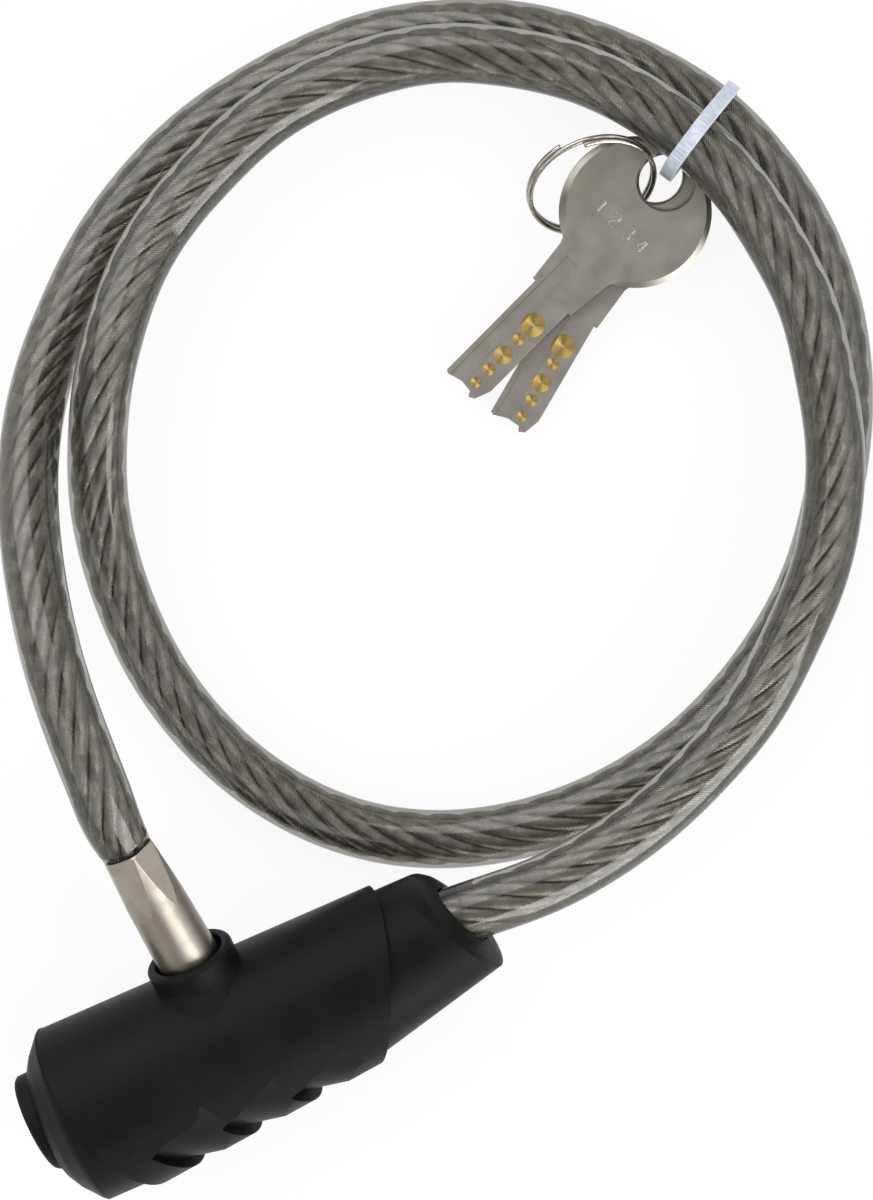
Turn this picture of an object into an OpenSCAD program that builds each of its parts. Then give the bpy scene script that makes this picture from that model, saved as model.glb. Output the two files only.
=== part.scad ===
// Key-operated cable lock: a moulded head with a side socket, a locking pin on
// the free end of a coiled cable, and two flat keys on a split ring.
// Units are millimetres. The head lies along X, key end at -X, on the floor z = 0.

/* [Head] */
// Length of the head from the key face to the far end of the rear collar
head_len = 82.8; // [60:0.5:120]
// How far the socket is raised from horizontal, degrees
head_roll = 22; // [0:1:90]
// Further turn of the covers' plane of symmetry, degrees
trim_turn = 10; // [0:1:30]
// Sideways place of the head's axis
axis_y = -0.57; // [-10:0.05:10]
// Height of the head's axis above the floor
axis_z = 17.08; // [10:0.05:30]

/* [Sleeve] */
// Radius of the sleeve where it is thickest
skin_r = 15.8; // [12:0.1:20]
// Distance of that section from the key face
skin_x = 17.5; // [10:0.5:30]
// Offset of that section's centre from the head's axis
skin_y = -1.9; // [-5:0.1:5]
// Taper of the sleeve, half angle in degrees
skin_taper = 2.68; // [0:0.1:8]
// Tilt of the sleeve's own axis, degrees
skin_tilt = 3.17; // [0:0.1:8]
// Radius of the curved front seam in side view
seam_r = 100; // [40:5:300]
// Foremost point of the seam's arc
seam_x = 9.9; // [5:0.1:20]
// Lean of the seam, degrees
seam_lean = 18.6; // [0:1:40]
// Where the slanted rear edge crosses the axis
rear_x = 61.8; // [50:0.1:70]
// Slant of the rear edge, degrees
rear_lean = 23.3; // [0:1:40]
// Wall of the sleeve around the zinc housing, where it is thickest
skin_wall = 3.5; // [2:0.1:5]

/* [Nose] */
// How much smaller the cap's side is than the sleeve, per side
cap_step = 0.45; // [0:0.05:1]
// Sideways place of the cap's own centre
cap_y = -1.2; // [-3:0.1:3]
// Outside diameter of the ring around the keyway
bezel_d = 17; // [14:0.5:20]
// Length of that ring
bezel_len = 3; // [1.5:0.1:4]

/* [Grips] */
// Places of the three grip slots' upper ends, along the head and across it
grip_ends = [[17.5, -3.9], [29.7, -5.2], [42.1, -5.8]];
// Slant of the grip slots, degrees
grip_slant = 27; // [0:1:45]
// Width of a grip slot
slot_w = 0.7; // [0.3:0.1:2]
// Depth of a grip slot
slot_deep = 1.9; // [0.5:0.1:3]
// Offset of the scooped surface behind a slot
scoop_deep = 1.75; // [0.5:0.05:3]
// Slope of the scooped surface, degrees
scoop_slope = 29; // [5:1:35]
// Length and slope of the softened edge in front of a slot
lip_w = 1; // [0.5:0.1:3]
lip_slope = 38; // [20:1:50]

/* [Socket] */
// Distance of the socket from the key face
socket_x = 35.6; // [30:0.1:45]
// Height of the socket's rim over the head's axis
socket_rim = 17.6; // [15:0.1:25]
// Outside diameter of the socket's collar
collar_d = 15; // [12:0.1:20]
// Inside diameter of the socket's collar
collar_hole_d = 11.8; // [10:0.1:15]
// Inside diameter of the housing's bore for the locking pin
pin_bore_d = 11.6; // [10:0.1:15]

/* [Rear collar] */
// Radius of the rear collar at its wide section
tail_r = 12.55; // [10:0.1:16]
// Distance of that section from the key face
tail_x = 59; // [50:0.5:70]
// Offset of that section's centre
tail_y = 0.77; // [-3:0.1:5]
// Taper of the rear collar, half angle in degrees
tail_taper = 6.65; // [0:0.1:12]
// Tilt of the rear collar's own axis, degrees
tail_tilt = 7.8; // [0:0.1:12]
// Front end of the rear collar, inside the sleeve
tail_front = 54; // [50:0.5:58]
// Slant of its end face, degrees
end_lean = 22.3; // [0:1:40]
// Where the end face crosses the cable
end_x = 79.9; // [70:0.1:90]
// Wall of the rear collar
tail_wall = 1.2; // [0.8:0.1:3]

/* [Cable] */
// Outside diameter of the cable
cable_d = 10; // [6:0.5:15]
// Diameter of the steel rope in it
rope_d = 6; // [4:0.1:8]
// Place where the cable leaves the head, along and across it
exit_at = [82.3, 3.75];
// Slant of the cable where it leaves the head, degrees
exit_slant = 5; // [0:1:15]
// Front end, length and radius of the ferrule on the cable's end
anchor_from = -22; // [-24:0.5:-18]
anchor_len = 10.5; // [8:0.5:12]
anchor_r = 5.8; // [5.5:0.1:7]
// Sides of the cable's section
cable_sides = 10; // [8:1:12]

/* [Locking pin] */
// Diameter of the locking pin
pin_d = 10.3; // [8:0.1:14]
// Place of the pin's axis at the socket's rim, along the head
pin_x = 35.35; // [30:0.05:45]
// Lean of the seated pin in its bore, degrees
pin_lean = 3; // [0:0.5:5]
// Nose end and cable end of the pin, along its axis
pin_span = [-1.5, 39.4];
// Groove for the latch, from and to
groove_span = [2.7, 5.3];
// Diameter of the groove
groove_d = 6.4; // [4:0.1:9]
// Diameter of the nose in front of the groove
nose_d = 9.6; // [8:0.1:11]
// Diameter over the crimp at the cable end
crimp_d = 8.7; // [7:0.1:10]
// Where the crimped flats begin
crimp_from = 30.5; // [25:0.5:36]

/* [Lock mechanism] */
// Diameter of the cylinder's shell
shell_d = 20; // [16:0.5:24]
// Front end, shoulder and rear end of the shell
shell_from = 3.5; // [2:0.1:5]
shell_step = 4.2; // [3:0.1:6]
shell_to = 24; // [20:0.5:30]
// Diameter of the turning plug
plug_d = 12; // [9:0.5:14]
// Thickness and width of the keyway
key_slot_t = 2.5; // [2:0.1:4]
key_slot_w = 7.9; // [6:0.1:10]
// Front end of the zinc housing
housing_from = 6.2; // [5:0.1:8]
// Clearance of a fixed fit, per side
fit_gap = 0.05; // [0.01:0.01:0.2]
// Pitch of the pins
tumbler_pitch = 3.8; // [2:0.1:5]
// Number of pins
tumblers = 5; // [3:1:7]
// Diameter of the pins
tumbler_d = 2.5; // [1.5:0.1:3]
// Throw of the cam
cam_throw = 1.6; // [1:0.1:3]
// Diameter of the cam's stud
stud_d = 3; // [2:0.1:4]
// Place, diameter and length of the cross pin through the cam
cross_x = 25.75; // [24:0.05:28]
cross_d = 1; // [0.8:0.1:2]
cross_len = 10.4; // [8:0.1:12]
// Radius and rear end of the cam's room
cam_room_r = 9.2; // [7:0.1:11]
cam_room_to = 29.8; // [27:0.1:32]
// Key turn, degrees
key_turn = 90; // [45:5:180]
// Thickness of the latch plate
latch_t = 2; // [1:0.1:4]
// Place across the head, half width and rear end of the latch plate
latch_s = 4; // [3:0.1:5]
latch_half_w = 7.6; // [7:0.1:9]
latch_to = 42.6; // [42:0.1:45]
// Hole in the latch plate
latch_hole_d = 11.2; // [10:0.1:13]

/* [Keys] */
// Thickness of a key
key_t = 2.1; // [1.5:0.1:3]
// Diameter of a key's bow
bow_d = 25.6; // [18:0.1:32]
// Diameter of the hole in the bow
key_hole_d = 9.2; // [4:0.1:12]
// Distance of that hole from the bow's centre
key_hole_off = 7.2; // [4:0.1:10]
// Length of a key from the hole to its tip
key_reach = 49.4; // [40:0.1:60]
// Slope of both keys, degrees
key_slope = 5; // [0:0.5:15]
// Direction in which they slope down, degrees
slope_dir = 207.3; // [0:0.1:360]
// Hole centres of the two keys
key_a_at = [119.3, 101.9, 8.7];
key_b_at = [118.35, 103.9, 6.2];
// Directions of their blades, degrees
key_a_dir = 201.3; // [0:0.1:360]
key_b_dir = 216; // [0:0.1:360]
// Where a key's neck begins and ends, from the hole
neck_from = 17.1; // [15:0.1:20]
neck_to = 27.4; // [24:0.1:30]
// Width of the blade
blade_w = 7.9; // [6:0.1:10]
// Depth of the groove beside the dimples
groove_deep = 0.5; // [0.2:0.1:0.8]
// Dimples as distance from the hole and radius
dimples = [[33, 2.1], [36.4, 1.05], [40.2, 1.6], [43.6, 1.05], [46.8, 0.9]];
// Their place across the blade
dimple_y = 1.1; // [0:0.1:2]

/* [Ring and tie] */
// Outside diameter of the split ring
ring_d = 22.6; // [18:0.1:32]
// Diameter of the ring's wire
ring_wire = 1; // [0.8:0.1:2]
// Width of the tie's strap
tie_w = 2.5; // [2:0.1:5]
// Thickness of the tie's strap
tie_t = 1.1; // [0.8:0.1:2]
// Centre of the split ring
ring_at = [107.45, 106.45, 9.55];
// Its tilt and turn, and where its wire starts, degrees
ring_tilt = 53.3; // [0:0.1:90]
ring_turn = -96.2; // [-180:0.1:180]
ring_start = 200; // [0:5:360]
// Place of the tie on the floor plan
tie_at = [130.3, 108.9];
// Direction of its plane, degrees
tie_dir = 29; // [0:1:180]
// Centres of the upper turn, the lower turn and the keys' corner in that
// plane, as distance outwards and height
tie_high = [-5.6, 15.2];
tie_low = [1.35, 6.3];
tie_in = [-9.95, 1.7];

/* [Hidden] */
$fn = 96;
eps = 0.01;
far = 60;
skin_slope = tan(skin_taper);
tail_slope = tan(tail_taper);
// Taper of the scooped surface
core_slope = skin_slope + 0.1;
cam_half = key_turn / 2;
latch_travel = 2 * cam_throw * sin(cam_half);
pin_rest_y = -cam_throw * sin(cam_half);
shear = plug_d / 2 + fit_gap;
blade_t = key_t - 0.24;
coil_pitch = ring_wire + 0.04;
// Diameter of the zinc housing
housing_d = 2 * (skin_r - skin_wall);
// Foremost edge of the leaning ring, which then touches x = 0
bezel_front = (bezel_d / 2 - 0.4) * tan(skin_tilt);
// Radius of the cap's side
cap_r = skin_r - cap_step;

// ---- placing -------------------------------------------------------------

// Head frame: X from the key face, Y out of the socket, Z the third way
module head()
  translate([-head_len / 2, axis_y, axis_z])
    rotate([head_roll, 0, 0])
      children();

// The covers' own frame, whose XY plane is their plane of symmetry
module trim()
  rotate([trim_turn, 0, 0])
    children();

// Turned work along +X, starting at x
module bar(x, h, r, r2 = undef)
  translate([x, 0, 0])
    rotate([0, 90, 0])
      cylinder(h = h, r1 = r, r2 = is_undef(r2) ? r : r2);

// Outline drawn as [radius, x], revolved about X
module spun(points)
  rotate([0, 90, 0])
    rotate_extrude()
      polygon(points);

function arc(cx, cy, r, from, to, n) =
  [for (i = [0:n]) [cx + r * cos(from + (to - from) * i / n), cy + r * sin(from + (to - from) * i / n)]];

// ---- covers --------------------------------------------------------------

// Tapered, tilted cone of the sleeve and cap
module skin(grow = 0, back = 14, ahead = 54)
  translate([skin_x, skin_y, 0])
    rotate([0, 0, skin_tilt])
      bar(-back, back + ahead, skin_r + back * skin_slope + grow, skin_r - ahead * skin_slope + grow);

// Tapered, tilted cone of the rear collar
module tail_cone(grow = 0, back = 8, ahead = 28)
  translate([tail_x, tail_y, 0])
    rotate([0, 0, tail_tilt])
      bar(-back, back + ahead, tail_r + back * tail_slope + grow, tail_r - ahead * tail_slope + grow);

// Everything behind the curved seam
module behind_seam(gap = 0)
  translate([seam_x + gap, 0.55, 0])
    rotate([0, 0, seam_lean])
      translate([seam_r, 0, 0])
        cylinder(h = far, r = seam_r, center = true, $fn = 360);

// Everything in front of the slanted rear edge
module before_rear()
  translate([rear_x, 0, 0])
    rotate([0, 0, -rear_lean])
      translate([-2 * far, -far, -far])
        cube([2 * far, 2 * far, 2 * far]);

// Slot with a scoop behind it, cut into the grip side
module grip(end)
  difference() {
    translate([end[0], end[1], 0])
      rotate([0, 0, grip_slant])
        translate([0, -far, -far])
          cube([12, far, 2 * far]);
    grip_core(end, 0, scoop_deep, scoop_slope);
  }

// What is left standing: a cone leaning by the slope
module grip_core(end, shift, deep, slope) {
  mid = grip_mid(end) + shift;
  y_mid = skin_y + (mid - skin_x) * tan(skin_tilt);
  r_mid = skin_r - (mid - skin_x) * skin_slope;
  translate([mid, y_mid + deep, 0])
    rotate([0, 0, skin_tilt - slope])
      bar(-far / 2, far, r_mid + 0.25 + core_slope * far / 2, r_mid + 0.25 - core_slope * far / 2);
}

// Where a slot crosses the middle of the grip side
function grip_mid(end) = end[0] + (end[1] + skin_r + 1.2) * tan(grip_slant);

// The narrow slot itself
module grip_slot(end)
  difference() {
    translate([end[0], end[1], 0])
      rotate([0, 0, grip_slant])
        translate([-slot_w / 2, -far, -far])
          cube([slot_w, far, 2 * far]);
    skin(-slot_deep);
  }

// Softened edge of the pad in front of a slot
module grip_lip(end)
  difference() {
    translate([end[0], end[1], 0])
      rotate([0, 0, grip_slant])
        translate([-lip_w, -far, -far])
          cube([lip_w, far - 2, 2 * far]);
    grip_core(end, -0.1, 0.75, -lip_slope);
  }

module outer_sleeve()
  color([0.02, 0.02, 0.022])
    head()
      difference() {
        union() {
          trim()
            intersection() {
              skin();
              behind_seam();
              before_rear();
              rear_corner();
            }
          socket_collar();
        }
        housing_room();
        trim()
          intersection() {
            tail_cone(fit_gap);
            translate([tail_front - fit_gap, -far / 2, -far / 2])
              cube(far);
          }
        trim()
          for (end = grip_ends) {
            grip(end);
            grip_slot(end);
            grip_lip(end);
          }
        translate([socket_x, 0, 0])
          rotate([-90, 0, 0])
            cylinder(h = far, d = collar_hole_d);
      }

// Softens the sleeve's rear corner on the grip side
module rear_corner()
  translate([rear_x - 6.6, -13.3, 0])
    rotate([0, 0, -45])
      translate([-2 * far, -far, -far])
        cube([2 * far, 2 * far, 2 * far]);

// Raised collar around the socket, with rounded edges
module socket_collar()
  translate([socket_x, 0, 0])
    rotate([-90, 0, 0])
      rotate_extrude()
        polygon(concat(
          [[3, 9], [collar_d / 2 + 3.25, 9]],
          arc(collar_d / 2 + 3, socket_rim - 3, 3, 215, 180, 6),
          arc(collar_d / 2 - 0.8, socket_rim - 0.8, 0.8, 0, 90, 6),
          arc(collar_hole_d / 2 + 0.4, socket_rim - 0.4, 0.4, 90, 180, 4),
          [[3, socket_rim - 0.4]]));

// The housing's outside, with the clearance of a fixed fit
module housing_room()
  bar(housing_from - 0.1, tail_front - housing_from + 0.1, housing_d / 2 + fit_gap);

module nose_cap()
  color([0.02, 0.02, 0.022])
    head()
      difference() {
        trim()
          difference() {
            nose_form();
            behind_seam(-0.05);
            bezel_line()
              bar(-1, bezel_len + 1, bezel_d / 2 + fit_gap);
          }
        housing_room();
        bar(2, far, bezel_d / 2 + fit_gap);
        bar(shell_step - fit_gap, far, shell_d / 2 + fit_gap);
      }

// Rounded front with two bevels, its corner at the cap's side
module nose_form()
  translate([0, cap_y, 0])
    spun([
      [0, 1.4], [cap_r - 8.1, 1.5], [cap_r - 6.35, 2.1], [cap_r - 5.55, 2.4], [cap_r - 3.25, 3.8],
      [cap_r - 2, 4.9], [cap_r - 0.5, 6.15], [cap_r, 6.75], [cap_r, 20], [0, 20]]);

module rear_collar()
  color([0.02, 0.02, 0.022])
    head()
      difference() {
        trim()
          intersection() {
            tail_cone();
            translate([tail_front, -far / 2, -far / 2])
              cube(far);
            end_form();
          }
        trim()
          intersection() {
            tail_cone(-tail_wall);
            translate([tail_front - 1, -far / 2, -far / 2])
              cube([19, far, far]);
          }
        cable_line()
          bar(-20, 40, cable_d / 2 + 0.3);
      }

// Everything before the slanted end face, rounded off towards its rim
module end_form()
  translate([end_x, 3.4, 0])
    rotate([0, 0, end_lean])
      rotate([0, -90, 0])
        rotate_extrude()
          polygon([
            [0, 0], [5.6, 0], [7.4, 0.2], [9, 0.6], [10.2, 1.1], [11.2, 1.9], [12.2, 3.2], [13, 5],
            [40, 60], [0, 80]]);

// Axis of the cable at the head: X along it, 0 where it leaves the head
module cable_line()
  translate([exit_at[0], exit_at[1], 0])
    rotate([0, 0, -exit_slant])
      children();

module key_bezel()
  color([0.03, 0.03, 0.03])
    head()
      trim()
        bezel_line()
          spun([
            [plug_d / 2 + 0.3, bezel_front + 0.2], [plug_d / 2 + 0.6, bezel_front],
            [bezel_d / 2 - 0.4, bezel_front], [bezel_d / 2, bezel_front + 0.5],
            [bezel_d / 2, bezel_len], [plug_d / 2 + 0.3, bezel_len]]);

// The ring leans with the sleeve
module bezel_line()
  rotate([0, 0, skin_tilt])
    children();

// ---- lock cylinder -------------------------------------------------------

// Direction of the tumblers is -Y, towards the grip side
module tumbler_holes(from, to, d)
  for (i = [0:tumblers - 1])
    translate([tumbler_x(i), 0, 0])
      rotate([90, 0, 0])
        translate([0, 0, from])
          cylinder(h = to - from, d = d, $fn = 32);

function tumbler_x(i) = 6.2 + i * tumbler_pitch;

module cylinder_shell()
  color([0.78, 0.62, 0.33])
    head()
      difference() {
        union() {
          bar(shell_from, 3, bezel_d / 2 - fit_gap);
          bar(shell_step, shell_to - shell_step, shell_d / 2);
        }
        bar(shell_from - 1, far, shear);
        tumbler_holes(0, shell_d, tumbler_d + 2 * fit_gap);
        retaining_room(0.03);
      }

module cylinder_plug()
  color([0.8, 0.66, 0.36])
    head()
      difference() {
        union() {
          bar(0.4, shell_to - 0.4, plug_d / 2);
          bar(shell_to - eps, 1.05, 4.5);
          translate([shell_to, -2.4, -2.4])
            cube([2.3, 4.8, 4.8]);
        }
        translate([-1, -key_slot_t / 2, -key_slot_w / 2])
          cube([shell_to + 0.2, key_slot_t, key_slot_w]);
        tumbler_holes(0, plug_d, tumbler_d + 2 * fit_gap);
        difference() {
          bar(shell_to + 0.1, 0.8, 5);
          bar(shell_to, 2, 4);
          }
        translate([cross_x, 0, -4])
          cylinder(h = 8, d = cross_d + 0.04, $fn = 32);
      }

module plug_clip()
  color([0.5, 0.5, 0.52])
    head()
      difference() {
        bar(shell_to + 0.15, 0.7, 7);
        bar(shell_to, 2, 4.05);
        translate([shell_to - 1, 0, -1.6])
          cube([3, far, 3.2]);
      }

module key_pins()
  color([0.8, 0.66, 0.36])
    head()
      for (i = [0:tumblers - 1])
        translate([tumbler_x(i), 0, 0])
          rotate([90, 0, 0])
            rotate_extrude($fn = 32)
              polygon([[0, 1.35], [0.5, 1.35], [tumbler_d / 2, 2.1], [tumbler_d / 2, 5.5], [1, 5.8], [0, 5.8]]);

module driver_pins()
  color([0.6, 0.6, 0.62])
    head()
      for (i = [0:tumblers - 1])
        translate([tumbler_x(i), 0, 0])
          rotate([90, 0, 0])
            rotate_extrude($fn = 32)
              polygon([[0, 6.2], [1, 6.2], [tumbler_d / 2, 6.4], [tumbler_d / 2, 7.6], [0, 7.6]]);

module driver_springs()
  color([0.7, 0.7, 0.72])
    head()
      for (i = [0:tumblers - 1])
        translate([tumbler_x(i), -7.65, 0])
          rotate([90, 0, 0])
            tube(coil_points(0.85, 2.1, 3, 12), 0.17, 6);

function coil_points(r, h, turns, per) =
  [for (i = [0:turns * per]) [r * cos(360 * i / per), r * sin(360 * i / per), 0.2 + (h - 0.4) * i / (turns * per)]];

module cylinder_retaining_pin()
  color([0.6, 0.6, 0.62])
    head()
      retaining_room(0);

module retaining_room(grow)
  translate([19, shell_d / 2 - 1.4 - grow, 0])
    rotate([-90, 0, 0])
      cylinder(h = (housing_d - shell_d) / 2 + 1.3 + grow, d = 2 + 2 * grow, $fn = 32);

module cam_disc()
  color([0.62, 0.62, 0.64])
    head()
      difference() {
        union() {
          bar(25.05, 1.95, 5.6);
          rotate([-cam_half, 0, 0])
            translate([0, cam_throw, 0])
              bar(26.9, 2.4, stud_d / 2);
        }
        translate([20, -2.45, -2.45])
          cube([6.4, 4.9, 4.9]);
        translate([cross_x, 0, -10])
          cylinder(h = 20, d = cross_d + 0.04, $fn = 32);
      }

module cam_cross_pin()
  color([0.5, 0.5, 0.52])
    head()
      translate([cross_x, 0, -cross_len / 2])
        cylinder(h = cross_len, d = cross_d, $fn = 32);

module latch_plate()
  color([0.68, 0.68, 0.7])
    head()
      difference() {
        union() {
          translate([27.4, latch_s - latch_t / 2, -latch_half_w])
            cube([latch_to - 27.4, latch_t, 2 * latch_half_w]);
          translate([27.4, -4, -5])
            cube([1.5, 4 + latch_s, 10]);
        }
        translate([socket_x, -10, 0])
          rotate([-90, 0, 0])
            cylinder(h = 30, d = latch_hole_d);
        translate([0, 0, pin_rest_y]) {
          translate([0, cam_throw * cos(cam_half), 0])
            bar(27, 3, stud_d / 2 + 0.15);
          translate([0, cam_throw, 0])
            bar(27, 3, stud_d / 2 + 0.15);
        }
      }

module lock_housing()
  color([0.55, 0.56, 0.57])
    head()
      difference() {
        union() {
          bar(housing_from, tail_front - 0.1 - housing_from, housing_d / 2);
          intersection() {
            trim()
              tail_cone(-tail_wall - 0.1);
            cable_line()
              bar(-32, 21, 8);
            translate([tail_front - 0.5, -far / 2, -far / 2])
              cube(far);
          }
        }
        bar(0, shell_to, shell_d / 2 + fit_gap);
        bar(shell_to - eps, cam_room_to - shell_to, cam_room_r);
        translate([shell_to - eps, latch_s - latch_t / 2 - 0.15, -latch_half_w - 0.2])
          cube([latch_to + 0.4 - shell_to, latch_t + 0.3, 2 * latch_half_w + latch_travel + 0.4]);
        translate([socket_x, -2.2, 0])
          rotate([-90, 0, 0])
            cylinder(h = far, d = pin_bore_d);
        retaining_room(0.03);
        cable_line() {
          bar(anchor_from - fit_gap, 30, anchor_r + fit_gap);
          anchor_pin_bars(0.02);
        }
      }

// ---- cable anchor --------------------------------------------------------

module cable_anchor()
  color([0.5, 0.5, 0.52])
    head()
      cable_line()
        difference() {
          bar(anchor_from, anchor_len, anchor_r);
          bar(anchor_from + 1, anchor_len, cable_d / 2 + fit_gap);
          anchor_pin_bars(0.02);
        }

module anchor_pins()
  color([0.45, 0.45, 0.47])
    head()
      cable_line()
        anchor_pin_bars(0);

module anchor_pin_bars(grow)
  for (x = [-19, -14.5])
    translate([x, -6.15, -4.6 - grow])
      cylinder(h = 9.2 + 2 * grow, r = 1 + grow, $fn = 32);

// ---- locking pin ---------------------------------------------------------

module locking_pin()
  color([0.72, 0.68, 0.62])
    head()
      pin_line()
        difference() {
          rotate_extrude()
            polygon([
              [0, pin_span[0]], [nose_d / 2 - 0.9, pin_span[0]], [nose_d / 2, pin_span[0] + 1.2],
              [nose_d / 2, groove_span[0]], [groove_d / 2, groove_span[0] + 0.1],
              [groove_d / 2, groove_span[1] - 0.1], [pin_d / 2 - 0.3, groove_span[1]],
              [pin_d / 2, groove_span[1] + 0.3], [pin_d / 2, 20], [pin_d / 2 - 0.3, crimp_from],
              [crimp_d / 2 + 0.35, pin_span[1] - 0.3], [crimp_d / 2 + 0.05, pin_span[1]], [0, pin_span[1]]]);
          for (k = [0:5])
            rotate([0, 0, 60 * k + 12])
              translate([crimp_d / 2 - 0.25, -10, pin_span[1]])
                rotate([0, -4.2, 0])
                  translate([0, 0, -14])
                    cube([6, 20, 16]);
        }

// Z runs out of the socket along the leaning pin
module pin_line()
  translate([pin_x, socket_rim, 0])
    rotate([0, 0, pin_lean])
      rotate([-90, 0, 0])
        translate([0, 0, -socket_rim])
          children();

// ---- sweeps --------------------------------------------------------------

function unit(v) = v / norm(v);
function point_dir(p, i) =
  unit(p[min(i + 1, len(p) - 1)] - p[max(i - 1, 0)]);

// One ring of n points around route point i
function ring(p, i, r, n) =
  let (t = point_dir(p, i), side = unit(cross(t, [0, 0, 1])), up = cross(side, t))
  [for (k = [0:n - 1]) p[i] + r * (-cos(360 * k / n) * up + sin(360 * k / n) * side)];

// Round tube through the points p, radius r, n sides
module tube(p, r, n) {
  m = len(p);
  points = [for (i = [0:m - 1]) each ring(p, i, is_list(r) ? r[i] : r, n)];
  faces = concat(
    [[for (k = [n - 1:-1:0]) k]],
    [for (i = [0:m - 2]) for (k = [0:n - 1]) let (a = i * n + k, b = i * n + (k + 1) % n)
      each [[a, b, a + n], [b, b + n, a + n]]],
    [[for (k = [0:n - 1]) (m - 1) * n + k]]);
  polyhedron(points, faces);
}

// ---- cable ---------------------------------------------------------------

// Route of the free cable's centreline between the pin and the head
cable_route = [
  [-7, 46, 35.6], [-6.5, 55, 36.9], [-5.5, 68, 35.6], [-3.5, 80.5, 31.6],
  [-0.5, 92.5, 25.8], [4, 104, 19.3], [10.5, 114.5, 13.2], [18.5, 123.5, 8.5],
  [27, 131, 5.9], [37, 137, 5.1], [48, 141.5, 5], [59.5, 144, 5],
  [71, 145, 5], [83, 144.5, 5], [95, 141.5, 5], [106, 136.5, 5],
  [116, 129, 5.3], [124.5, 120, 5.9], [131.5, 109.5, 6.3], [136, 97.5, 5.8],
  [138, 85.5, 5.2], [137.5, 73, 5], [134.5, 61, 5], [129.5, 50, 5],
  [123, 40, 5], [115.5, 31, 5], [106.5, 23.5, 5], [96.5, 17.5, 5],
  [85.5, 13, 5], [74, 10.5, 5], [62.5, 10, 5], [50.5, 11.5, 5],
  [39.5, 15, 5], [29, 21, 5], [20.5, 29, 5], [14, 38.5, 5.1],
  [9.5, 49, 5.5], [7, 60, 6.5], [6.5, 70.5, 8.1], [7.5, 81, 10.4],
  [10, 91, 13.1], [14, 100, 15.7], [19, 108.5, 17.6], [25, 116.5, 16.8],
  [32, 124, 14.9], [40.5, 130, 13.8], [50, 134.5, 13.7], [60, 138, 13.8],
  [70.5, 139.5, 13.9], [81.5, 139, 13.9], [92.5, 136.5, 13.9], [102.5, 131.5, 13.8],
  [112, 124.5, 14.1], [119.5, 116, 14.8], [125.5, 106, 15.2], [129.5, 95.5, 14.6],
  [131.5, 84, 14], [132, 73, 14.2], [130, 61.5, 14.7], [127, 50.5, 15.3],
  [122, 40, 15.4], [115, 30.5, 15.4], [106.5, 22.5, 15.4], [97, 15, 15.3],
  [86.5, 9.5, 14.8], [74.5, 5, 14.7], [62, 2.5, 15.8], [52, 2, 17.4]];

// A point of the head's frame, in the part's frame
function from_head(x, s, t = 0) =
  [x - head_len / 2, axis_y + s * cos(head_roll) - t * sin(head_roll),
   axis_z + s * sin(head_roll) + t * cos(head_roll)];
// Points on the axes of the locking pin and of the cable at the head
function on_pin(s) = from_head(pin_x - (s - socket_rim) * sin(pin_lean), socket_rim + (s - socket_rim) * cos(pin_lean));
function on_exit(u) = from_head(exit_at[0] + u * cos(exit_slant), exit_at[1] - u * sin(exit_slant));

cable_line_points = concat(
  [on_pin(pin_span[1] + fit_gap), on_pin(pin_span[1] + 4.5)],
  cable_route,
  [on_exit(0), on_exit(-11), on_exit(anchor_from + 1.1)]);
// The jacket is drawn in at the locking pin
neck_scale = [for (i = [0:len(cable_line_points) - 1]) i == 0 ? 0.82 : i == 1 ? 0.93 : 1];

module cable_jacket()
  color([0.45, 0.46, 0.42, 0.6])
    difference() {
      tube(cable_line_points, neck_scale * cable_d / 2, cable_sides);
      tube(stretched(cable_line_points, 0.5), concat([for (s = neck_scale) s * (rope_d / 2 + fit_gap)]), cable_sides);
    }

module steel_rope()
  color([0.6, 0.6, 0.58])
    tube(cable_line_points, neck_scale * rope_d / 2, cable_sides);

// The same route with both ends moved outwards by d
function stretched(p, d) =
  let (m = len(p))
  [for (i = [0:m - 1]) i == 0 ? p[0] - d * unit(p[1] - p[0]) : i == m - 1 ? p[i] + d * unit(p[i] - p[i - 1]) : p[i]];

// ---- keys, ring and tie --------------------------------------------------

module key_place(at, dir)
  translate(at)
    rotate(a = key_slope, v = [-sin(slope_dir), cos(slope_dir), 0])
      rotate([0, 0, dir])
        children();

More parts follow.
